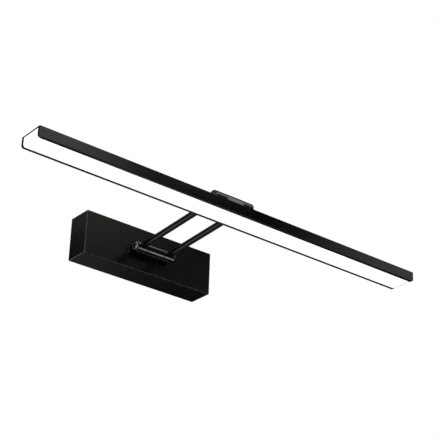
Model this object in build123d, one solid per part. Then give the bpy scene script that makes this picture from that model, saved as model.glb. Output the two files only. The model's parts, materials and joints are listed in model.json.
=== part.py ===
from build123d import *
import os
from math import cos, radians, sin, tan

# ----------------------------------------------------------------------------
# Wall-mounted picture light: an oblong wall box, a twin-rod arm hinged at both
# ends, and a long slim head with an opal diffuser on its underside.
#
# Frame (mm): origin at the centre of the wall plane behind the wall box,
# +X to the right along the light, +Y into the wall, +Z up.
# ----------------------------------------------------------------------------

# wall box
BOX_L = 207.6          # length along X
BOX_H = 62.0           # height
BOX_D = 38.0           # depth from the wall
BOX_T = 1.2            # sheet thickness
BOX_R = 1.0            # outer edge radius
PLATE_T = 1.5          # wall plate thickness
PLATE_GAP = 0.5        # plate edge to inside of cover
TAB_D = 13.0           # depth of the angle brackets on the plate
TAB_W = 16.0
TOP_TAB_X = 88.0
BOT_TAB_X = 88.0
SLOT_X = 70.0          # wall screw slots at +/- this
SLOT_R = 2.25          # half the slot width
SLOT_L = 12.0          # slot length, end to end
ENTRY_X = -90.0        # mains cable entry
ENTRY_R = 3.5          # cable bore in the grommet
ENTRY_LEN = 4.0

# wall hinge
WY = -46.87            # wall hinge axis
WZ = -1.4
MID_HALF = 13.2        # half length of a knuckle
WASHER_T = 0.4
OUT_IN = 13.7          # inner face of an outer barrel
OUT_END = 30.8         # end face of an outer barrel
R_MID = 8.6            # knuckle radius
R_OUT = 8.45           # outer barrel radius
R_RIM = 1.2            # rounded rim at the outer end of a barrel
R_SPIGOT = 4.0         # spigot that turns in the knuckle
R_BORE = 4.05          # knuckle bore
SPIGOT_IN = 5.3        # inner end of a spigot
R_WIREWAY = 2.6        # wire way along the hinge axis
GROOVE = (8.05, 10.45)
R_GROOVE = 3.5
GRUB_X = 9.25
END_SINK = 0.8         # recess for the end screw's head
R_END_HEAD = 6.1
END_HEAD_H = 1.7
END_DOME = 13.0        # radius of the domed head
END_CROSS = (9.6, 2.2) # cross recess: length and width of its arms
END_CROSS_Z = 1.25     # depth of the recess

# arm
ARM_L = 166.25         # between the two hinge axes
ARM_TILT = 3.6         # degrees above level, as stored
ROD_X = 21.7           # rods at +/- this
R_ROD = 4.25
R_ROD_IN = 3.05
ROD_PAST = 5.0         # rod end beyond the hinge axis

# head
HEAD_L = 600.0
HEAD_D = 38.8
HEAD_H = 14.2
HEAD_FRONT = -239.7
HEAD_TOP = -4.5
HEAD_TOP_T = 1.9       # top wall
HEAD_SIDE_T = 4.0      # side walls
HEAD_EDGE_R = 0.5      # long outer edges
HEAD_CORNER_R = 3.6    # lower corners at both ends
FOOT_SLOPE = 16.0      # degrees, front of the head knuckle's foot
DIFF_RECESS = 0.2      # diffuser face above the lower edges of the side walls
DIFF_GAP = 0.1
DIFF_T = 1.5
DIFF_END_T = 5.0
DIFF_END = 299.6
LED_PITCH = 9.5
LED_COUNT = 60
BOARD_W = 10.0
BOARD_L = 574.0
BOARD_T = 1.2

# leads
R_LEAD = 1.2           # slim two-core lead
R_WIRE = 0.9           # single insulated wire

U = Vector(0, -cos(radians(ARM_TILT)), sin(radians(ARM_TILT)))   # wall hinge to head hinge
X = Vector(1, 0, 0)
W = Vector(0, WY, WZ)
H = W + U * ARM_L
HEAD_REAR = HEAD_FRONT + HEAD_D
HEAD_BOT = HEAD_TOP - HEAD_H
HEAD_MID = (HEAD_FRONT + HEAD_REAR) / 2

os.makedirs("parts", exist_ok=True)


# ---------------------------------------------------------------- helpers ----
def block(x0, x1, y0, y1, z0, z1):
    return Pos((x0 + x1) / 2, (y0 + y1) / 2, (z0 + z1) / 2) * Box(
        abs(x1 - x0), abs(y1 - y0), abs(z1 - z0)
    )


def bar(p, q, r):
    p, q = Vector(*p) if isinstance(p, tuple) else p, Vector(*q) if isinstance(q, tuple) else q
    d = q - p
    return Plane(origin=p, z_dir=d) * Cylinder(
        r, d.length, align=(Align.CENTER, Align.CENTER, Align.MIN)
    )


def ring(p, q, ro, ri):
    return bar(p, q, ro) - bar(p, q, ri)


def solid(shape):
    """The one solid of a shape."""
    s = shape.solids()
    assert len(s) == 1, len(s)
    return s[0]


def save(name, *shapes):
    parts = []
    for shape in shapes:
        parts += shape.solids()
    for s in parts:
        assert s.is_valid and s.volume > 0, name
    out = parts[0] if len(parts) == 1 else Compound(children=parts)
    out.label = name
    export_step(out, f"parts/{name}.step")


def pan_screw(p, d, r, length, head_r, head_h, slot=0.55, reach=None):
    """Pan head screw with a cross recess: p under the head, d the way it goes in."""
    head = Cylinder(head_r, head_h, align=(Align.CENTER, Align.CENTER, Align.MIN))
    top = head.edges().sort_by(Axis.Z)[-1]
    head = fillet(top, min(head_h * 0.6, head_r * 0.5))
    reach = reach or head_r * 0.62
    cross = Pos(0, 0, head_h) * (
        Box(2 * reach, slot, head_h * 1.1) + Box(slot, 2 * reach, head_h * 1.1)
    )
    shank = Pos(0, 0, -length) * Cylinder(
        r, length, align=(Align.CENTER, Align.CENTER, Align.MIN)
    )
    tip = shank.edges().sort_by(Axis.Z)[0]
    shank = chamfer(tip, r * 0.3)
    d = Vector(*d)
    return solid(Plane(origin=Vector(*p), z_dir=d * -1) * (head + shank - cross))


def grub_screw(p, d, r, length, dog_r, dog_len, hex_af):
    """Socket set screw: p its outer end, d the way it goes in."""
    body = Cylinder(r, length, align=(Align.CENTER, Align.CENTER, Align.MAX))
    body = chamfer(body.edges().sort_by(Axis.Z)[-1], 0.2)
    dog = Pos(0, 0, -length) * Cylinder(
        dog_r, dog_len, align=(Align.CENTER, Align.CENTER, Align.MAX)
    )
    socket = extrude(Plane.XY * RegularPolygon(hex_af / 2 / cos(radians(30)), 6), -length * 0.4)
    return solid(Plane(origin=p, z_dir=d * -1) * (body + dog - socket))


def lead(points, radii, r):
    """Round lead along straight runs joined by tangent arcs."""
    path = FilletPolyline(*points, radius=radii)
    wire = path.wires()[0] if path.wires() else path
    start = wire.position_at(0)
    prof = Plane(origin=start, z_dir=wire.tangent_at(0)) * Circle(r)
    s = solid(sweep(prof, path=wire))
    expect = 3.14159265 * r * r * wire.length
    assert abs(s.volume / expect - 1) < 0.01, (s.volume, expect)
    return s


# ============================================================== WALL BOX =====
# cover: folded sheet box, open to the wall
outer = block(-BOX_L / 2, BOX_L / 2, -BOX_D, 0, -BOX_H / 2, BOX_H / 2)
rim = outer.faces().sort_by(Axis.Y)[-1].edges()
soft = [e for e in outer.edges() if all(abs(v.Y) > 1e-6 for v in [e.center()])]
outer = fillet(soft, BOX_R)
inner = block(
    -BOX_L / 2 + BOX_T, BOX_L / 2 - BOX_T,
    -BOX_D + BOX_T, 1,
    -BOX_H / 2 + BOX_T, BOX_H / 2 - BOX_T,
)
cover = outer - inner
cover -= bar((0, -BOX_D - 1, WZ), (0, -BOX_D + 3, WZ), 5.2)
cover -= bar((9.5, -BOX_D - 1, WZ), (9.5, -BOX_D + 3, WZ), 1.3)
for s in (-1, 1):
    cover -= bar((s * TOP_TAB_X, -7, BOX_H / 2 - 3), (s * TOP_TAB_X, -7, BOX_H / 2 + 1), 1.7)
save("box_cover", solid(cover))

IN_Z = BOX_H / 2 - BOX_T          # inside faces of the cover
IN_X = BOX_L / 2 - BOX_T
IN_Y = -BOX_D + BOX_T
PZ = IN_Z - PLATE_GAP             # wall plate half height
PX = IN_X - PLATE_GAP

# flat wall plate with screw slots and cable hole
plate = block(-PX, PX, -PLATE_T, 0, -PZ, PZ)
plate = fillet(plate.edges().filter_by(Axis.Y), 3.0)
for s in (-1, 1):
    slot = extrude(
        Plane(origin=(s * SLOT_X, 1, 0), x_dir=(1, 0, 0), z_dir=(0, 1, 0))
        * SlotOverall(SLOT_L, SLOT_R * 2),
        -PLATE_T - 3,
    )
    plate -= slot
plate -= bar((ENTRY_X, 1, 0), (ENTRY_X, -3, 0), 7.0)
EARTH = (-70.0, -17.0)
DRV_SCREWS = ((-30.0, 21.5), (52.0, -21.5))
for px, pz in (EARTH, *DRV_SCREWS, (-51.5, 19.0)):
    plate -= bar((px, 1, pz), (px, -3, pz), 1.55)
save("back_plate", solid(plate))

# four angle brackets spot-welded to the plate: the cover is screwed to the top
# two and clipped over the bottom two
TAB_FOOT = 10.0
tabs = []
for s in (-1, 1):
    for up, cx in ((1, s * TOP_TAB_X), (-1, s * BOT_TAB_X)):
        x0, x1 = cx - TAB_W / 2, cx + TAB_W / 2
        t = block(x0, x1, -TAB_D, -PLATE_T, up * (PZ - PLATE_T), up * PZ)
        t += block(x0, x1, -2 * PLATE_T, -PLATE_T, up * (PZ - TAB_FOOT), up * PZ)
        if up > 0:
            t -= bar((cx, -7, PZ - 3), (cx, -7, PZ + 1), 1.55)
        tabs.append(solid(t))
save("plate_tabs", *tabs)

# spot-welded clips inside the cover, over the two bottom brackets
clips = []
for s in (-1, 1):
    x0, x1 = s * BOT_TAB_X - 6, s * BOT_TAB_X + 6
    c = block(x0, x1, -24, -15, -IN_Z, -IN_Z + 1.0)
    c += block(x0, x1, -16, -15, -IN_Z, -IN_Z + 3.15)
    c += block(x0, x1, -16, -6, -IN_Z + 2.15, -IN_Z + 3.15)
    clips.append(solid(c))
save("cover_clips", *clips)

# two screws through the top of the cover into the tabs
save(
    "cover_screws",
    *[
        pan_screw((s * TOP_TAB_X, -7, BOX_H / 2), (0, 0, -1), 1.5, 6.0, 2.8, 1.7)
        for s in (-1, 1)
    ],
)

# rubber grommet for the mains cable, flush with the wall side
g = bar((ENTRY_X, -PLATE_T, 0), (ENTRY_X, 0, 0), 6.95) + bar(
    (ENTRY_X, -ENTRY_LEN, 0), (ENTRY_X, -PLATE_T, 0), 8.5
)
g -= bar((ENTRY_X, -ENTRY_LEN - 1, 0), (ENTRY_X, 1, 0), ENTRY_R)
save("cable_grommet", solid(g))

# --------------------------------------------------- terminal block ----------
TBX0, TBX1, TBY0, TBY1 = -60.0, -43.0, -15.5, -PLATE_T
POLES = (-9.0, 0.0, 9.0)
tb = block(TBX0, TBX1, TBY0, TBY1, -14.5, 14.5)
tb += block(TBX0 + 4, TBX1 - 4, TBY1 - 3.0, TBY1, 14.5, 22.0)      # fixing ear
sleeves, tscrews = [], []
for z in POLES:
    tb -= block(TBX0 - 1, TBX1 + 1, -10.5, -5.5, z - 2.5, z + 2.5)
    sl = block(TBX0 + 1.5, TBX1 - 1.5, -10.4, -5.6, z - 2.4, z + 2.4)
    sl -= bar((TBX0, -8, z), (TBX1, -8, z), 1.3)
    for x in (TBX0 + 4.5, TBX1 - 4.5):
        tb -= bar((x, TBY0 - 1, z), (x, -10, z), 1.9)
        sl -= bar((x, -11, z), (x, -8, z), 1.3)
        body = bar((x, -13.2, z), (x, -9.4, z), 1.25)
        body += bar((x, -14.2, z), (x, -12.2, z), 1.8)
        body -= block(x - 2, x + 2, -14.3, -13.6, z - 0.25, z + 0.25)
        tscrews.append(solid(body))
    sleeves.append(solid(sl))
tb -= bar((-51.5, -6, 19.0), (-51.5, 0, 19.0), 1.6)
save("terminal_block", solid(tb))
save("terminal_sleeves", *sleeves)
save("terminal_screws", *tscrews)
save("terminal_fixing_screw", pan_screw((-51.5, -4.5, 19.0), (0, 1, 0), 1.5, 4.2, 2.6, 1.6))

# ----------------------------------------------------------- driver ----------
DX0, DX1, DY0, DY1, DZ = -38.0, 60.0, -20.5, -PLATE_T, 18.0
case = block(DX0, DX1, -15.0, DY1, -DZ, DZ)
case = fillet(case.edges().filter_by(Axis.Y), 2.0)
case -= block(DX0 + 1.5, DX1 - 1.5, -16, DY1 - 1.5, -DZ + 1.5, DZ - 1.5)
for px, pz in DRV_SCREWS:
    sgn = 1 if pz > 0 else -1
    ear = block(px - 4, px + 4, DY1 - 2.5, DY1, sgn * (DZ - 1.4), sgn * 25.0)
    case += ear
    case -= bar((px, -6, pz), (px, 0, pz), 1.6)
for z in POLES[1:]:
    case -= bar((DX0 - 1, -8, z), (DX0 + 2, -8, z), R_WIRE + 0.1)
case -= bar((DX1 + 1, -10, 10), (DX1 - 2, -10, 10), R_LEAD + 0.1)
save("driver_case", solid(case))
lid = block(DX0, DX1, DY0, -15.0, -DZ, DZ)
lid = fillet(lid.edges().filter_by(Axis.Y), 2.0)
lid = fillet(lid.faces().sort_by(Axis.Y)[0].edges(), 0.8)
lid -= block(DX0 + 1.5, DX1 - 1.5, DY0 + 1.5, -14, -DZ + 1.5, DZ - 1.5)
for i in range(7):                                                   # vent slots
    x = DX0 + 22 + 9 * i
    lid -= block(x, x + 3.0, DY0 - 1, DY0 + 2, -8, 8)
save("driver_lid", solid(lid))
pcb = block(DX0 + 2, DX1 - 2, -5.6, -4.0, -DZ + 2, DZ - 2)
pcb -= bar((DX0 + 6, -7, 12), (DX0 + 6, -3, 12), 1.5)
pcb -= bar((DX1 - 6, -7, -12), (DX1 - 6, -3, -12), 1.5)
save("driver_board", solid(pcb))
core = block(2, 22, -16.5, -5.6, -9, 9) - block(5, 19, -17, -6.6, -5.5, 5.5)
coil = fillet(block(5.2, 18.8, -16.2, -6.8, -5.3, 5.3).edges().filter_by(Axis.Y), 2.0)
save("driver_transformer", solid(core), solid(coil))
caps = [
    solid(fillet(bar((x, -5.6, z), (x, -17.0, z), r).edges().sort_by(Axis.Y)[0], 0.8))
    for x, z, r in ((-22, -6, 5.0), (38, 5, 4.0), (38, -7, 4.0))
]
save("driver_capacitors", *caps)
save(
    "driver_screws",
    *[pan_screw((px, -4.0, pz), (0, 1, 0), 1.5, 3.7, 2.6, 1.6) for px, pz in DRV_SCREWS],
)

# mains wires between terminals and driver, and the earth wire
save(
    "mains_leads",
    *[solid(bar((TBX1 - 1.0, -8, z), (DX0 + 6, -8, z), R_WIRE)) for z in POLES[1:]],
)
tag = ring((EARTH[0], -2.3, EARTH[1]), (EARTH[0], -1.5, EARTH[1]), 3.4, 1.6)
tag += block(EARTH[0] + 3.0, EARTH[0] + 8.5, -2.3, -1.5, EARTH[1] - 1.5, EARTH[1] + 1.5)
save("earth_tag", solid(tag))
save("earth_screw", pan_screw((EARTH[0], -2.3, EARTH[1]), (0, 1, 0), 1.5, 2.1, 2.8, 1.6))
EX = EARTH[0] + 6.0
save(
    "earth_lead",
    lead(
        [(TBX0 + 1.0, -8, -9.0), (-64.0 - 0.0, -9.5, -9.0), (EX, -9.5, -17.0), (EX, -2.3, -17.0)],
        [1.9, 3.6],
        R_WIRE,
    ),
)

# ---------------------------------------------------------- wall hinge -------
def knuckle(c, foot):
    """Middle barrel with a flat-sided foot towards `foot` (a unit vector times length)."""
    k = bar(c - X * MID_HALF, c + X * MID_HALF, R_MID)
    n = foot.normalized()
    side = X.cross(n)
    pl = Plane(origin=c - X * MID_HALF, x_dir=side, z_dir=X)
    # rectangle from the axis to the mating face
    rect = pl * Pos(0, 0, 0) * Rectangle(2 * R_MID, 2 * foot.length)
    b = extrude(rect, 2 * MID_HALF)
    keep = Plane(origin=c + foot * 0.5, z_dir=n) * Box(200, 200, foot.length)
    b = b & keep
    return k + b


kn = solid(knuckle(W, Vector(0, -BOX_D - WY, 0)))
kn_edges = [e for e in kn.edges() if abs(abs(e.center().X) - MID_HALF) < 1e-4 and e.center().Y < -BOX_D - 0.2]
kn = solid(chamfer(kn_edges, 0.35))
kn -= bar(W - X * 20, W + X * 20, R_BORE)
kn -= bar((0, -42.0, WZ), (0, -BOX_D + 1, WZ), 5.05)
kn -= bar((0, WY, WZ), (0, -41, WZ), 3.0)
kn -= bar((9.5, -40.8, WZ), (9.5, -BOX_D + 1, WZ), 1.3)
for s in (-1, 1):
    kn -= bar((s * GRUB_X, WY, WZ + 3), (s * GRUB_X, WY, WZ + 9), 1.55)
save("wall_knuckle", solid(kn))


def grubs(c):
    return [
        grub_screw(c + X * (s * GRUB_X) + Vector(0, 0, 8.1), Vector(0, 0, -1), 1.5, 3.8, 1.05, 0.7, 1.5)
        for s in (-1, 1)
    ]


save("wall_grub_screws", *grubs(W))
save("hinge_stud", solid(ring((0, -41.9, WZ), (0, -27.3, WZ), 5.0, 3.25)))
bp = block(-30, 30, IN_Y, IN_Y + 1.5, WZ - 22, WZ + 22)
bp = fillet(bp.edges().filter_by(Axis.Y), 3.0)
bp -= bar((0, IN_Y - 1, WZ), (0, IN_Y + 3, WZ), 5.2)
bp -= bar((9.5, IN_Y - 1, WZ), (9.5, IN_Y + 3, WZ), 1.3)
save("hinge_backing_plate", solid(bp))
save("locating_pin", solid(chamfer(bar((9.5, -40.6, WZ), (9.5, IN_Y + 1.4, WZ), 1.25).edges().filter_by(GeomType.CIRCLE), 0.2)))
save("lock_washer", solid(ring((0, IN_Y + 1.5, WZ), (0, IN_Y + 2.5, WZ), 8.8, 5.2)))
nut = extrude(
    Plane(origin=(0, IN_Y + 2.5, WZ), x_dir=(1, 0, 0), z_dir=(0, 1, 0)) * RegularPolygon(7.0 / cos(radians(30)), 6),
    5.0,
)
nut -= bar((0, IN_Y, WZ), (0, IN_Y + 10, WZ), 5.05)
save("stud_nut", solid(nut))

# lead from the driver through the stud to the wall hinge axis
save(
    "base_lead",
    lead(
        [
            (DX1 - 4.0, -10.0, 10.0), (74.0, -10.0, 10.0), (73.4, -24.4, 9.0), (26.0, -24.6, 4.2),
            (1.5, -24.6, WZ), (1.5, WY, WZ), (-9.0, WY, WZ),
        ],
        [5.6, 5.6, 12.0, 4.0, 4.5],
        R_LEAD,
    ),
)


# =================================================================== ARM =====
def outer_barrel(c, s, u):
    """Turned end barrel with a spigot; u points along its rod."""
    b = bar(c + X * (s * OUT_IN), c + X * (s * OUT_END), R_OUT)
    end = b.edges().filter_by(GeomType.CIRCLE).sort_by(Axis.X)
    b = fillet(end[-1] if s > 0 else end[0], R_RIM)
    end = b.edges().filter_by(GeomType.CIRCLE).sort_by(Axis.X)
    b = chamfer(end[0] if s > 0 else end[-1], 0.3)
    b += bar(c + X * (s * SPIGOT_IN), c + X * (s * (OUT_IN + 1)), R_SPIGOT)
    b -= ring(c + X * (s * GROOVE[0]), c + X * (s * GROOVE[1]), 5.0, R_GROOVE)
    b -= bar(c + X * (s * (SPIGOT_IN - 1)), c + X * (s * ROD_X), R_WIREWAY)
    b -= bar(c + X * (s * ROD_X), c + X * (s * (OUT_END + 1)), 3.0)
    b -= bar(c + X * (s * (OUT_END - END_SINK)), c + X * (s * (OUT_END + 1)), R_END_HEAD + 0.3)
    b -= bar(c + X * (s * ROD_X) - u * (ROD_PAST + 0.2), c + X * (s * ROD_X) + u * 12, R_ROD + 0.03)
    return solid(b)


for nm, c, u in (("wall", W, U), ("head", H, U * -1)):
    save(f"{nm}_barrel_left", outer_barrel(c, -1, u))
    save(f"{nm}_barrel_right", outer_barrel(c, 1, u))
    save(
        f"{nm}_friction_washers",
        *[
            solid(ring(c + X * (s * (MID_HALF + 0.05)), c + X * (s * (OUT_IN - 0.05)), 7.7, 4.25))
            for s in (-1, 1)
        ],
    )
    ends = []
    for s in (-1, 1):
        a = c + X * (s * (ROD_X + R_ROD + 0.1))
        e = c + X * (s * (OUT_END - END_SINK))
        head = Cylinder(R_END_HEAD, END_HEAD_H, align=(Align.CENTER, Align.CENTER, Align.MIN))
        head = head & Pos(0, 0, END_HEAD_H - END_DOME) * Sphere(END_DOME)
        a1, a2 = END_CROSS
        head -= Pos(0, 0, END_HEAD_H) * (Box(a1, a2, 2 * END_CROSS_Z) + Box(a2, a1, 2 * END_CROSS_Z))
        turn = Plane(origin=e, x_dir=(0, 0, 1), z_dir=X * s)
        ends.append(solid(bar(a, e, 2.95) + turn * head))
    save(f"{nm}_end_screws", *ends)

for nm, s in (("left", -1), ("right", 1)):
    p, q = W + X * (s * ROD_X) - U * ROD_PAST, H + X * (s * ROD_X) + U * ROD_PAST
    rod = ring(p, q, R_ROD, R_ROD_IN)
    if s < 0:                                   # the wired rod has a side hole at each hinge
        for c in (W, H):
            rod -= bar(c + X * (s * ROD_X), c + X * (s * ROD_X + 6), 2.4)
    save(f"arm_rod_{nm}", solid(rod))

LX = ROD_X + 1.2
save(
    "arm_lead",
    lead(
        [
            tuple(W + X * -9.1), tuple(W + X * -LX), tuple(H + X * -LX), tuple(H + X * -9.1),
        ],
        [4.2, 4.2],
        R_LEAD,
    ),
)

# ================================================================== HEAD =====
# aluminium channel, open below and at both ends
sec = Plane(origin=(-HEAD_L / 2, 0, 0), x_dir=(0, 1, 0), z_dir=(1, 0, 0))
full = extrude(sec * Pos(HEAD_MID, HEAD_TOP - HEAD_H / 2) * RectangleRounded(HEAD_D, HEAD_H, HEAD_EDGE_R), HEAD_L)
hollow = block(
    -HEAD_L / 2 - 1, HEAD_L / 2 + 1,
    HEAD_FRONT + HEAD_SIDE_T, HEAD_REAR - HEAD_SIDE_T,
    HEAD_BOT - 1, HEAD_TOP - HEAD_TOP_T,
)
housing = full - hollow


def end_profile(half, top, bot, r):
    """Side outline with rounded lower corners, as a slab across the head."""
    pl = Plane(origin=(0, HEAD_REAR + 5, 0), x_dir=(1, 0, 0), z_dir=(0, -1, 0))
    sk = pl * Pos(0, (top + bot) / 2) * Rectangle(2 * half, top - bot)
    low = [v for v in sk.vertices() if v.Z < (top + bot) / 2]
    sk = fillet(low, r)
    return extrude(sk, HEAD_D + 10)


housing = housing & end_profile(HEAD_L / 2, HEAD_TOP + 1, HEAD_BOT, HEAD_CORNER_R)
HK_SCREW_X = 8.5
housing -= bar((0, H.Y, HEAD_TOP + 1), (0, H.Y, HEAD_TOP - 3), 3.0)
for s in (-1, 1):
    housing -= bar((s * HK_SCREW_X, H.Y, HEAD_TOP + 1), (s * HK_SCREW_X, H.Y, HEAD_TOP - 3), 1.6)
DS_SINK = 1.2                     # counterbores for the diffuser's screws
DS = [(sx * (DIFF_END - DIFF_END_T / 2), HEAD_MID + sy * 10.0) for sx in (-1, 1) for sy in (-1, 1)]
for x, y in DS:
    housing -= bar((x, y, HEAD_TOP + 1), (x, y, HEAD_TOP - 3), 1.2)
    housing -= bar((x, y, HEAD_TOP + 1), (x, y, HEAD_TOP - DS_SINK), 2.0)
BS = [(LED_PITCH * n, HEAD_MID) for n in (-26, -10, 10, 26)]
for x, y in BS:
    housing -= bar((x, y, HEAD_TOP - HEAD_TOP_T - 1), (x, y, HEAD_TOP - 0.35), 1.2)
save("head_housing", solid(housing))

# opal diffuser: a long shallow tray, open above, its ends turned up
DT = HEAD_TOP - HEAD_TOP_T - 0.05
DB = HEAD_BOT + DIFF_RECESS
dy0, dy1 = HEAD_FRONT + HEAD_SIDE_T + DIFF_GAP, HEAD_REAR - HEAD_SIDE_T - DIFF_GAP
tray = block(-DIFF_END, DIFF_END, dy0, dy1, DB, DT)
tray = fillet(
    [e for e in tray.edges().filter_by(Axis.X) if e.center().Z < (DT + DB) / 2], 0.5
)
tray = tray & end_profile(DIFF_END, DT + 1, DB, HEAD_CORNER_R)
pocket = block(
    -DIFF_END + DIFF_END_T, DIFF_END - DIFF_END_T, dy0 + DIFF_T, dy1 - DIFF_T, DB + DIFF_T, DT + 1
)
pocket = fillet([e for e in pocket.edges().filter_by(Axis.Y) if e.center().Z < DB + 3], 1.5)
tray -= pocket
for x, y in DS:
    tray -= bar((x, y, DT + 1), (x, y, DT - 6), 1.05)
save("diffuser", solid(tray))
save(
    "diffuser_screws",
    *[pan_screw((x, y, HEAD_TOP - DS_SINK), (0, 0, -1), 1.0, 5.4, 1.7, 1.0, 0.4) for x, y in DS],
)

# LED strip
BT = HEAD_TOP - HEAD_TOP_T
BB = BT - BOARD_T
board = block(-BOARD_L / 2, BOARD_L / 2, HEAD_MID - BOARD_W / 2, HEAD_MID + BOARD_W / 2, BB, BT)
for x, y in BS:
    board -= bar((x, y, BB - 1), (x, y, BT + 1), 1.3)
save("led_board", solid(board))
chips = []
for i in range(LED_COUNT):
    x = (i - (LED_COUNT - 1) / 2) * LED_PITCH
    chips.append(solid(block(x - 1.4, x + 1.4, HEAD_MID - 1.75, HEAD_MID + 1.75, BB - 0.7, BB)))
save("led_chips", *chips)
save("board_screws", *[pan_screw((x, y, BB), (0, 0, 1), 1.15, 2.5, 2.0, 1.1, 0.4) for x, y in BS])
CX = -3.5 * LED_PITCH          # connector, between two chips
conn = block(CX - 2.6, CX + 2.6, HEAD_MID + 2.0, HEAD_MID + BOARD_W / 2 - 0.2, BB - 3.4, BB)
conn = fillet(conn.edges().filter_by(Axis.Y).sort_by(Axis.Z)[:2], 0.6)
save("board_connector", solid(conn))

# head knuckle: middle barrel with a foot down to the channel
hk = knuckle(H, Vector(0, 0, HEAD_TOP - H.Z))
# its front slopes out towards the head
toe = H.Y - R_MID / cos(radians(FOOT_SLOPE)) - (H.Z - HEAD_TOP) * tan(radians(FOOT_SLOPE))
slope = Plane(origin=(-MID_HALF, 0, 0), x_dir=(0, 1, 0), z_dir=(1, 0, 0)) * Polygon(
    (H.Y - R_MID * cos(radians(FOOT_SLOPE)), H.Z + R_MID * sin(radians(FOOT_SLOPE))),
    (toe, HEAD_TOP), (H.Y, HEAD_TOP), (H.Y, H.Z),
    align=None,
)
hk = solid(hk + extrude(slope, 2 * MID_HALF))
hk_edges = [e for e in hk.edges() if abs(abs(e.center().X) - MID_HALF) < 1e-4 and e.center().Z > HEAD_TOP + 0.2]
hk = solid(chamfer(hk_edges, 0.35))
hk -= bar(H - X * 20, H + X * 20, R_BORE)
hk -= bar((0, H.Y, HEAD_TOP - 1), (0, H.Y, H.Z), 3.0)
for s in (-1, 1):
    hk -= bar((s * GRUB_X, H.Y, H.Z + 3), (s * GRUB_X, H.Y, H.Z + 9), 1.55)
    hk -= bar((s * HK_SCREW_X, H.Y, HEAD_TOP - 1), (s * HK_SCREW_X, H.Y, HEAD_TOP + 7.5), 1.55)
save("head_knuckle", solid(hk))
save("head_grub_screws", *grubs(H))
save(
    "knuckle_screws",
    *[pan_screw((s * HK_SCREW_X, H.Y, BT), (0, 0, 1), 1.5, 8.0, 2.2, 1.6) for s in (-1, 1)],
)

# lead from the head hinge axis to the LED strip
save(
    "head_lead",
    lead(
        [
            (-9.0, H.Y, H.Z), (1.0, H.Y, H.Z), (1.0, H.Y + 0.75, BB - 3.0),
            (CX, HEAD_MID + BOARD_W / 2 + 5.1, BB - 2.1), (CX, HEAD_MID + BOARD_W / 2 - 0.2, BB - 2.1),
        ],
        [4.5, 4.5, 3.4],
        R_LEAD,
    ),
)
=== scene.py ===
import json
import math

import bmesh
import bpy
from mathutils import Matrix, Vector

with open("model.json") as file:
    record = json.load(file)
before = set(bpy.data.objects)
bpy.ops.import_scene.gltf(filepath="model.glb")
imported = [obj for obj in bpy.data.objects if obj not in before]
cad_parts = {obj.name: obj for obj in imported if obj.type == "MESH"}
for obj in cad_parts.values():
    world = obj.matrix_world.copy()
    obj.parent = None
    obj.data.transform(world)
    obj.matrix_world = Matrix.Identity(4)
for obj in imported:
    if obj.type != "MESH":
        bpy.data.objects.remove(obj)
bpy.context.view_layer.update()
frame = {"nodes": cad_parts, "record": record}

N = frame["nodes"]
scene = bpy.context.scene
scene.view_settings.view_transform = "Standard"
scene.view_settings.look = "None"


# ---------------------------------------------------------------- camera
YAW, PITCH, ROLL = (math.radians(a) for a in (37.897665, 26.359366, 1.896112))
fwd = Vector((math.sin(YAW) * math.cos(PITCH), math.cos(YAW) * math.cos(PITCH), math.sin(PITCH)))
side = Vector((math.cos(YAW), -math.sin(YAW), 0))
top = side.cross(fwd)
cx = side * math.cos(ROLL) + top * math.sin(ROLL)
cy = -side * math.sin(ROLL) + top * math.cos(ROLL)
cam_data = bpy.data.cameras.new("camera")
cam_data.sensor_width = 36
cam_data.lens = 111.2095
cam_data.clip_start, cam_data.clip_end = 0.05, 60
cam = bpy.data.objects.new("camera", cam_data)
scene.collection.objects.link(cam)
m = Matrix((cx, cy, -fwd)).transposed().to_4x4()
m.translation = Vector((-0.9540245, -1.4160574, -0.7759465))
cam.matrix_world = m
scene.camera = cam


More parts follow.
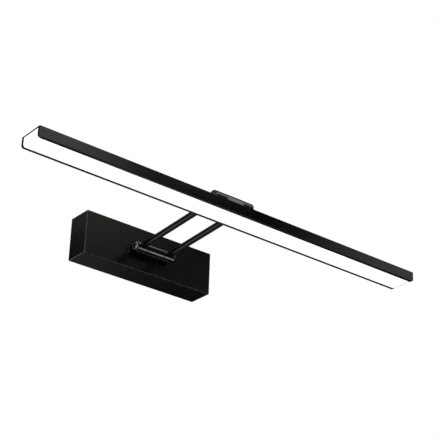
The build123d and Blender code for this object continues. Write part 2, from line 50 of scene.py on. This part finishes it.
# ---------------------------------------------------------------- node helpers
class Tree:
    """A node tree that is written as expressions."""

    def __init__(self, tree):
        self.t = tree
        tree.nodes.clear()

    def new(self, kind, **props):
        n = self.t.nodes.new(kind)
        for k, v in props.items():
            setattr(n, k, v)
        return n

    def put(self, socket, value):
        if isinstance(value, bpy.types.NodeSocket):
            self.t.links.new(value, socket)
        elif value is not None:
            socket.default_value = value

    def math(self, op, a, b=None, c=None, clamp=False):
        n = self.new("ShaderNodeMath", operation=op, use_clamp=clamp)
        for i, v in enumerate((a, b, c)):
            if v is not None:
                self.put(n.inputs[i], v)
        return n.outputs[0]

    def vmath(self, op, a, b=None, out=0):
        n = self.new("ShaderNodeVectorMath", operation=op)
        for i, v in enumerate((a, b)):
            if v is not None:
                self.put(n.inputs[i], v)
        return n.outputs[out]

    def ramp(self, v, lo, hi, a=0.0, b=1.0, smooth=True):
        n = self.new("ShaderNodeMapRange", interpolation_type="SMOOTHSTEP" if smooth else "LINEAR")
        self.put(n.inputs["Value"], v)
        for k, x in (("From Min", lo), ("From Max", hi), ("To Min", a), ("To Max", b)):
            self.put(n.inputs[k], x)
        return n.outputs[0]

    def mix(self, f, a, b):
        n = self.new("ShaderNodeMix", data_type="RGBA")
        self.put(n.inputs[0], f)
        self.put(n.inputs[6], a)
        self.put(n.inputs[7], b)
        return n.outputs[2]

    def coord(self, scale=(1, 1, 1)):
        c = self.new("ShaderNodeTexCoord").outputs["Object"]
        if tuple(scale) == (1, 1, 1):
            return c
        return self.vmath("MULTIPLY", c, tuple(float(s) for s in scale))

    def noise(self, scale, detail=2.0, rough=0.5, vec=None, stretch=(1, 1, 1)):
        n = self.new("ShaderNodeTexNoise")
        self.put(n.inputs["Vector"], vec if vec is not None else self.coord(stretch))
        self.put(n.inputs["Scale"], scale)
        self.put(n.inputs["Detail"], detail)
        self.put(n.inputs["Roughness"], rough)
        return n.outputs["Fac"]

    def voronoi(self, scale, feature="F1", stretch=(1, 1, 1)):
        n = self.new("ShaderNodeTexVoronoi", feature=feature)
        self.put(n.inputs["Vector"], self.coord(stretch))
        self.put(n.inputs["Scale"], scale)
        return n.outputs["Distance"]

    def bump(self, height, strength, distance, normal=None):
        n = self.new("ShaderNodeBump")
        self.put(n.inputs["Height"], height)
        self.put(n.inputs["Strength"], strength)
        self.put(n.inputs["Distance"], distance)
        if normal is not None:
            self.put(n.inputs["Normal"], normal)
        return n.outputs[0]

    def edge(self, radius, lo=0.02, hi=0.25):
        """1 near a convex or concave edge, 0 on a flat face."""
        b = self.new("ShaderNodeBevel", samples=6)
        self.put(b.inputs["Radius"], radius)
        g = self.new("ShaderNodeNewGeometry")
        d = self.vmath("DOT_PRODUCT", b.outputs[0], g.outputs["Normal"], out=1)
        return self.ramp(self.math("SUBTRACT", 1.0, d), lo, hi)

    def fold(self, lo=0.02, hi=0.16):
        """1 on the rounded folds between axis-aligned faces, 0 on the faces."""
        n = self.new("ShaderNodeSeparateXYZ")
        self.put(n.inputs[0], self.vmath("ABSOLUTE", self.new("ShaderNodeTexCoord").outputs["Normal"]))
        m = self.math("MAXIMUM", self.math("MAXIMUM", n.outputs[0], n.outputs[1]), n.outputs[2])
        return self.ramp(self.math("SUBTRACT", 1.0, m), lo, hi)


def rgb(*c):
    """sRGB 0-255 to a linear colour."""
    if len(c) == 1:
        c = c * 3
    lin = [(x / 255 / 12.92) if x <= 10 else ((x / 255 + 0.055) / 1.055) ** 2.4 for x in c]
    return (*lin, 1.0)


def principled(name, **sockets):
    mat = bpy.data.materials.new(name)
    mat.use_nodes = True
    t = Tree(mat.node_tree)
    out = t.new("ShaderNodeOutputMaterial")
    p = t.new("ShaderNodeBsdfPrincipled")
    t.t.links.new(p.outputs[0], out.inputs[0])
    for k, v in sockets.items():
        t.put(p.inputs[k.replace("_", " ")], v)
    return mat, t, p


# ---------------------------------------------------------------- finishes
def black_sheet():
    """Satin baked paint on folded sheet: faint orange peel; the folds are painted light grey, partly as thinner
    paint and partly as a painted highlight along the edges.
    """
    mat, t, p = principled("black_sheet_paint", IOR=1.45, Specular_Tint=(1.0, 0.985, 0.93, 1.0))
    tone = t.ramp(t.noise(38, 4, 0.6), 0.3, 0.7)
    body = t.mix(tone, rgb(8, 8, 7), rgb(11, 11, 10))
    # painted highlight: the rounded folds are painted light grey, standing in for the sheen along the edges as well
    # as thinner paint there
    edge_lightening = t.math("MULTIPLY", t.fold(), t.ramp(t.noise(160, 3, 0.6), 0.3, 0.6, 0.55, 1.0))
    t.put(p.inputs["Base Color"], t.mix(edge_lightening, body, rgb(122, 120, 115)))
    peel = t.noise(900, 2, 0.5)
    dust = t.ramp(t.noise(2600, 2, 0.6), 0.62, 0.78)
    t.put(p.inputs["Roughness"], t.math("ADD", t.ramp(t.noise(60, 5, 0.65), 0.25, 0.75, 0.25, 0.30), t.math("MULTIPLY", dust, 0.03)))
    t.put(p.inputs["Normal"], t.bump(peel, 0.05, 0.0002))
    return mat


def black_anodised():
    """Extruded aluminium, black anodised: fine draw lines along the length."""
    mat, t, p = principled("black_anodised_aluminium", IOR=1.6)
    lines = t.noise(1.0, 3, 0.6, stretch=(6, 1800, 1800))
    tone = t.ramp(t.noise(24, 4, 0.6), 0.3, 0.7)
    body = t.mix(tone, rgb(6, 6, 7), rgb(9, 9, 9))
    edge_lightening = t.math("MULTIPLY", t.edge(0.0006, 0.01, 0.2), t.ramp(t.noise(260, 3, 0.6), 0.45, 0.7))
    t.put(p.inputs["Base Color"], t.mix(edge_lightening, body, rgb(52, 52, 53)))
    t.put(p.inputs["Roughness"], t.math("ADD", t.ramp(lines, 0.2, 0.8, 0.15, 0.19), t.ramp(t.noise(90, 3, 0.6), 0.3, 0.7, -0.01, 0.01)))
    t.put(p.inputs["Normal"], t.bump(lines, 0.03, 0.0001))
    return mat


def black_gloss_metal():
    """Turned brass, black nickel plated and lacquered: fine turning rings, bright where it rubs."""
    mat, t, p = principled("black_nickel", IOR=2.0)
    rings = t.noise(1.0, 3, 0.6, stretch=(2600, 60, 60))
    tone = t.ramp(t.noise(120, 3, 0.6), 0.3, 0.7)
    body = t.mix(tone, rgb(6, 6, 7), rgb(10, 10, 10))
    edge_lightening = t.math("MULTIPLY", t.edge(0.0005, 0.02, 0.3), t.ramp(t.noise(420, 3, 0.6), 0.4, 0.65))
    t.put(p.inputs["Base Color"], t.mix(edge_lightening, body, rgb(70, 69, 67)))
    t.put(p.inputs["Roughness"], t.ramp(rings, 0.2, 0.8, 0.12, 0.2))
    t.put(p.inputs["Normal"], t.bump(rings, 0.07, 0.00012))
    return mat


def black_rod():
    """Steel tube, gloss black lacquer with faint lengthwise polish lines."""
    mat, t, p = principled("black_lacquered_tube", IOR=1.55)
    lines = t.noise(1.0, 2, 0.5, stretch=(1500, 8, 1500))
    tone = t.ramp(t.noise(90, 3, 0.6), 0.3, 0.7)
    t.put(p.inputs["Base Color"], t.mix(tone, rgb(5, 5, 6), rgb(9, 9, 9)))
    t.put(p.inputs["Roughness"], t.ramp(lines, 0.2, 0.8, 0.15, 0.22))
    t.put(p.inputs["Normal"], t.bump(lines, 0.05, 0.0001))
    return mat


def black_screw():
    """Black oxide screw steel: slightly brown, mottled."""
    mat, t, p = principled("black_oxide_steel", Metallic=1.0)
    tone = t.ramp(t.noise(900, 4, 0.7), 0.3, 0.7)
    edge_lightening = t.math("MULTIPLY", t.edge(0.0002, 0.03, 0.3), t.ramp(t.noise(1500, 3, 0.6), 0.4, 0.7))
    t.put(p.inputs["Base Color"], t.mix(edge_lightening, t.mix(tone, rgb(44, 42, 41), rgb(62, 60, 60)), rgb(150, 148, 145)))
    t.put(p.inputs["Roughness"], t.ramp(t.noise(1400, 3, 0.6), 0.25, 0.75, 0.28, 0.46))
    t.put(p.inputs["Normal"], t.bump(t.noise(3000, 2, 0.5), 0.12, 0.0001))
    return mat


def opal():
    """Satin opal acrylic, lit from behind: very fine frost in the surface, a trace of unevenness over the chips."""
    mat, t, p = principled("opal_diffuser", IOR=1.49, Emission_Color=(1.0, 1.0, 1.0, 1.0))
    tone = t.ramp(t.noise(14, 3, 0.5), 0.3, 0.7)
    t.put(p.inputs["Base Color"], t.mix(tone, rgb(240, 240, 238), rgb(247, 247, 247)))
    x = t.new("ShaderNodeSeparateXYZ")
    t.put(x.inputs[0], t.coord())
    glow = t.ramp(t.noise(9, 2, 0.5, stretch=(1, 3, 3)), 0.3, 0.7, 0.93, 0.95)
    # the lower edge at the far end is dimmed: partly real, as it lies past the last chip, and partly a painted
    # shade where the surface turns away
    edge = t.math("MULTIPLY", t.ramp(x.outputs[0], 0.2950, 0.2964, 0.0, 0.62), t.ramp(x.outputs[2], -0.0165, -0.0158, 1.0, 0.0))
    t.put(p.inputs["Emission Strength"], t.math("MULTIPLY", glow, t.math("SUBTRACT", 1.0, edge)))
    t.put(p.inputs["Roughness"], t.ramp(t.noise(1500, 3, 0.6), 0.25, 0.75, 0.40, 0.55))
    t.put(p.inputs["Normal"], t.bump(t.noise(2600, 2, 0.5), 0.10, 0.0001))
    return mat


def metal(name, dark, light, rough=(0.25, 0.4), scale=500, spangle=0, stretch=(1, 1, 1), bump=0.08):
    mat, t, p = principled(name, Metallic=1.0)
    tone = t.ramp(t.noise(scale, 4, 0.65, stretch=stretch), 0.3, 0.7)
    if spangle:
        tone = t.ramp(t.math("ADD", t.math("MULTIPLY", tone, 0.45), t.math("MULTIPLY", t.voronoi(spangle), 0.8)), 0.15, 0.95)
    edge_lightening = t.math("MULTIPLY", t.edge(0.0003, 0.02, 0.3), t.ramp(t.noise(900, 3, 0.6), 0.4, 0.7))
    t.put(p.inputs["Base Color"], t.mix(edge_lightening, t.mix(tone, rgb(*dark), rgb(*light)), rgb(*[min(255, int(c * 1.15) + 8) for c in light])))
    t.put(p.inputs["Roughness"], t.ramp(t.noise(scale * 1.7, 3, 0.6, stretch=stretch), 0.25, 0.75, *rough))
    t.put(p.inputs["Normal"], t.bump(t.noise(scale * 2.3, 2, 0.5, stretch=stretch), bump, 0.0002))
    return mat


def plain_steel(name="plain_steel", dark=204, light=228, painted_cross_shade=False):
    """Matt zinc-flaked screw steel, with painted shade in the recesses from an ambient-occlusion mask; on the end
    screws the cross recess and the gap round the head are painted dark as shade.
    """
    mat, t, p = principled(name, Metallic=1.0)
    tone = t.ramp(t.noise(700, 4, 0.65), 0.3, 0.7)
    # painted shade: the ambient-occlusion mask below darkens the steel in recesses and gaps, where shade falls
    ao = t.new("ShaderNodeAmbientOcclusion", samples=8)
    t.put(ao.inputs["Distance"], 0.0025)
    painted_recess_shade = t.ramp(ao.outputs["AO"], 0.4, 0.72, 1.0, 0.0)
    # on the end screws the floor and walls of the cross recess and the gap round the head are painted dark as shade
    # as well
    if painted_cross_shade:
        n = t.new("ShaderNodeSeparateXYZ")
        t.put(n.inputs[0], t.vmath("ABSOLUTE", t.new("ShaderNodeTexCoord").outputs["Normal"]))
        recess = t.math("MAXIMUM", t.ramp(n.outputs[0], 0.9988, 0.9996), t.ramp(n.outputs[0], 0.6, 0.82, 1.0, 0.0))
        painted_recess_shade = t.math("MAXIMUM", painted_recess_shade, recess)
    edge_lightening = t.math("MULTIPLY", t.edge(0.0003, 0.02, 0.3), t.ramp(t.noise(900, 3, 0.6), 0.4, 0.7))
    metal_tone = t.mix(edge_lightening, t.mix(tone, rgb(dark, dark, dark + 2), rgb(light, light, light - 1)), rgb(*[min(240, light + 12)] * 3))
    t.put(p.inputs["Base Color"], t.mix(painted_recess_shade, metal_tone, rgb(20, 19, 18)))
    t.put(p.inputs["Roughness"], t.math("ADD", t.ramp(t.noise(1200, 3, 0.6), 0.25, 0.75, 0.48, 0.58), t.math("MULTIPLY", painted_recess_shade, 0.2)))
    t.put(p.inputs["Normal"], t.bump(t.noise(1600, 2, 0.5), 0.06, 0.0002))
    return mat


def plastic(name, dark, light, rough=(0.35, 0.5), scale=400, grain=2200, bump=0.12, ior=1.5):
    mat, t, p = principled(name, IOR=ior)
    tone = t.ramp(t.noise(scale, 4, 0.6), 0.3, 0.7)
    edge = t.edge(0.0004, 0.03, 0.35)
    t.put(p.inputs["Base Color"], t.mix(t.math("MULTIPLY", edge, 0.5), t.mix(tone, rgb(*dark), rgb(*light)), rgb(*[min(255, c + 14) for c in light])))
    t.put(p.inputs["Roughness"], t.ramp(t.noise(scale * 2, 3, 0.6), 0.25, 0.75, *rough))
    t.put(p.inputs["Normal"], t.bump(t.noise(grain, 2, 0.5), bump, 0.0002))
    return mat


def wire(name, dark, light, rough=(0.35, 0.5)):
    """PVC sleeve over stranded wire: the lay of the strands shows faintly."""
    mat, t, p = principled(name, IOR=1.53)
    w = t.new("ShaderNodeTexWave", wave_type="BANDS", bands_direction="DIAGONAL")
    t.put(w.inputs["Vector"], t.coord())
    for k, v in (("Scale", 160.0), ("Distortion", 1.5), ("Detail", 2.0)):
        t.put(w.inputs[k], v)
    tone = t.ramp(t.noise(500, 3, 0.6), 0.3, 0.7)
    t.put(p.inputs["Base Color"], t.mix(tone, rgb(*dark), rgb(*light)))
    t.put(p.inputs["Roughness"], t.ramp(t.noise(900, 3, 0.6), 0.25, 0.75, *rough))
    t.put(p.inputs["Normal"], t.bump(w.outputs["Fac"], 0.15, 0.0002))
    return mat


MATS = {
    "black_sheet": black_sheet(),
    "black_anodised": black_anodised(),
    "black_gloss_metal": black_gloss_metal(),
    "black_rod": black_rod(),
    "black_screw": black_screw(),
    "opal": opal(),
    "zinc_steel": metal("zinc_plated_sheet", (150, 152, 155), (196, 197, 196), (0.28, 0.45), 260, spangle=240),
    "steel_plain": plain_steel(),
    "brass_plain": metal("brass", (158, 122, 66), (196, 160, 92), (0.22, 0.38), 700),
    "rubber_black": plastic("black_rubber", (18, 18, 18), (27, 27, 26), (0.6, 0.8), 500, 1800, 0.3, 1.45),
    "nylon_dark": plastic("dark_nylon", (24, 24, 25), (34, 34, 34), (0.42, 0.58), 500, 2400, 0.18),
    "white_plastic": plastic("white_plastic", (224, 223, 218), (236, 235, 231), (0.32, 0.46), 300, 2600, 0.08),
    "board_green": plastic("circuit_board_green", (18, 66, 40), (26, 84, 52), (0.25, 0.4), 350, 1500, 0.12),
    "board_white": plastic("white_solder_mask", (226, 227, 224), (238, 239, 237), (0.3, 0.42), 400, 1700, 0.1),
    "led_face": plastic("led_phosphor", (226, 204, 92), (240, 222, 120), (0.25, 0.4), 1500, 4000, 0.1),
    "transformer_dark": plastic("ferrite_and_tape", (42, 40, 40), (58, 55, 53), (0.5, 0.7), 700, 1600, 0.3),
    "capacitor_can": metal("capacitor_sleeve", (40, 44, 60), (56, 60, 78), (0.25, 0.4), 900),
    "wire_brown": wire("brown_sleeve", (74, 42, 24), (92, 54, 32)),
    "wire_green": wire("green_sleeve", (34, 96, 44), (48, 118, 58)),
    "lead_black": wire("black_sleeve", (15, 15, 15), (24, 24, 24)),
}

# the end screws: the same zinc steel at both hinges; the head's pair gets a darker colour, a painted shade
OWN = {
    "wall_end_screws": plain_steel("wall_screw_steel", painted_cross_shade=True),
    "head_end_screws": plain_steel("head_screw_steel", 112, 138, painted_cross_shade=True),
}

slot_of = {}
for entry in frame["record"]["subparts"] if "subparts" in frame["record"] else []:
    s = entry.get("material_slot") or entry.get("material") or entry.get("slot")
    if s:
        slot_of[entry.get("node") or entry.get("name")] = s
for name, obj in N.items():
    s = slot_of.get(name)
    if s is None:
        old = obj.data.materials[0].name.split(".")[0] if obj.data.materials else "?"
        s = old
    obj.data.materials.clear()
    obj.data.materials.append(OWN.get(name, MATS[s]))


# ---------------------------------------------------------------- floor and light
FLOOR_Z = -2.7
me = bpy.data.meshes.new("floor")
half = 9.0
me.from_pydata([(-half, -half, FLOOR_Z), (half, -half, FLOOR_Z), (half, half, FLOOR_Z), (-half, half, FLOOR_Z)], [], [(0, 1, 2, 3)])
floor = bpy.data.objects.new("floor", me)
scene.collection.objects.link(floor)
fmat, ft, fp = principled("pale_floor", Roughness=0.9, Emission_Color=(1.0, 1.0, 1.0, 1.0), Emission_Strength=0.5)
ft.put(fp.inputs["Base Color"], ft.mix(ft.noise(1.5, 2, 0.5), rgb(226), rgb(236)))
me.materials.append(fmat)
floor.visible_glossy = floor.visible_diffuse = floor.visible_transmission = floor.visible_shadow = False

world = bpy.data.worlds.new("studio")
world.use_nodes = True
scene.world = world
w = Tree(world.node_tree)
wout = w.new("ShaderNodeOutputWorld")
bg = w.new("ShaderNodeBackground")
w.t.links.new(bg.outputs[0], wout.inputs[0])
camera_ray = w.new("ShaderNodeLightPath").outputs["Is Camera Ray"]
w.put(bg.inputs["Color"], w.mix(camera_ray, (0.2, 0.2, 0.2, 1), (1, 1, 1, 1)))
bg.inputs["Strength"].default_value = 1.0

# a light tent: a large ball round the fitting with soft panels of light on its inside, unseen by the camera
TENT_AT, TENT_R = (0.0, -0.13, -0.01), 0.8
bm = bmesh.new()
bmesh.ops.create_icosphere(bm, subdivisions=5, radius=TENT_R)
me = bpy.data.meshes.new("tent")
bm.to_mesh(me)
bm.free()
for f in me.polygons:
    f.use_smooth = True
tent = bpy.data.objects.new("tent", me)
scene.collection.objects.link(tent)
tent.location = TENT_AT
tmat = bpy.data.materials.new("tent_panels")
tmat.use_nodes = True
tmat.cycles.emission_sampling = "NONE"
w = Tree(tmat.node_tree)
tout = w.new("ShaderNodeOutputMaterial")
glow = w.new("ShaderNodeEmission")
w.t.links.new(glow.outputs[0], tout.inputs[0])
sep = w.new("ShaderNodeSeparateXYZ")
w.put(sep.inputs[0], w.vmath("NORMALIZE", w.coord()))
X, Y, Z = sep.outputs
DEG = 180 / math.pi
az_front = w.math("MULTIPLY", w.math("ARCTAN2", X, w.math("MULTIPLY", Y, -1.0)), DEG)
el = w.math("MULTIPLY", w.math("ARCSINE", Z), DEG)


def softbox(strength, az, el_range, soft=(6, 6), lean=0.0):
    """A soft-edged light panel: az and el_range are (from, to) in degrees, az from the front (-Y) toward +X; lean shears it in azimuth."""
    sa, se = soft
    mid = (az[0] + az[1]) / 2
    a = w.math("SUBTRACT", az_front, mid)
    a = w.math("SUBTRACT", w.math("MODULO", w.math("ADD", a, 540.0), 360.0), 180.0)
    if lean:
        a = w.math("SUBTRACT", a, w.math("MULTIPLY", w.math("SUBTRACT", el, (el_range[0] + el_range[1]) / 2), lean))
    half = (az[1] - az[0]) / 2
    f = w.ramp(w.math("ABSOLUTE", a), half - sa, half + sa, 1.0, 0.0)
    f = w.math("MULTIPLY", f, w.ramp(el, el_range[0] - se, el_range[0] + se))
    f = w.math("MULTIPLY", f, w.ramp(el, el_range[1] - se, el_range[1] + se, 1.0, 0.0))
    return w.math("MULTIPLY", f, strength)


panels = [
    softbox(0.76, (-75, 14.5), (0, 60), (7.5, 5)),        # key, front left
    softbox(0.52, (44.5, 100), (-2, 22), (12, 4)),        # front right
    softbox(0.80, (24, 39), (28, 44), (5, 2)),            # over the front
    softbox(1.05, (40, 64), (41, 56), (6, 4)),            # over the front, right
    softbox(1.60, (38, 68), (-53, -33), (6, 5)),          # low, front right
    softbox(1.0, (-170, -130), (-44, -12), (8, 6)),       # low, back left
    softbox(1.2, (-140, -100), (-64, -46), (8, 5)),       # low, far left
    softbox(0.145, (155, 190), (-36, -12), (6, 5)),       # back right
    softbox(0.32, (128, 156), (-52, -30), (6, 6)),        # low, back right
    softbox(0.26, (-172, -128), (23, 50), (8, 3)),        # back left
    softbox(1.8, (-116, -84), (-18, 11), (4, 4)),         # left
    softbox(1.3, (-144, -122), (41, 54), (5, 4)),         # back left, high
    softbox(2.2, (96, 126), (14, 42), (6, 5)),            # right
    softbox(0.7, (163, 197), (-13, 13), (5, 5)),          # straight behind
    softbox(0.8, (-200, 200), (75, 95), (6, 5)),          # overhead
    softbox(0.6, (-200, 200), (-95, -77), (6, 5)),        # underneath
]
total = 0.004
for s in panels:
    total = w.math("ADD", s, total)
w.put(glow.inputs["Strength"], total)
me.materials.append(tmat)
tent.visible_camera = tent.visible_shadow = False
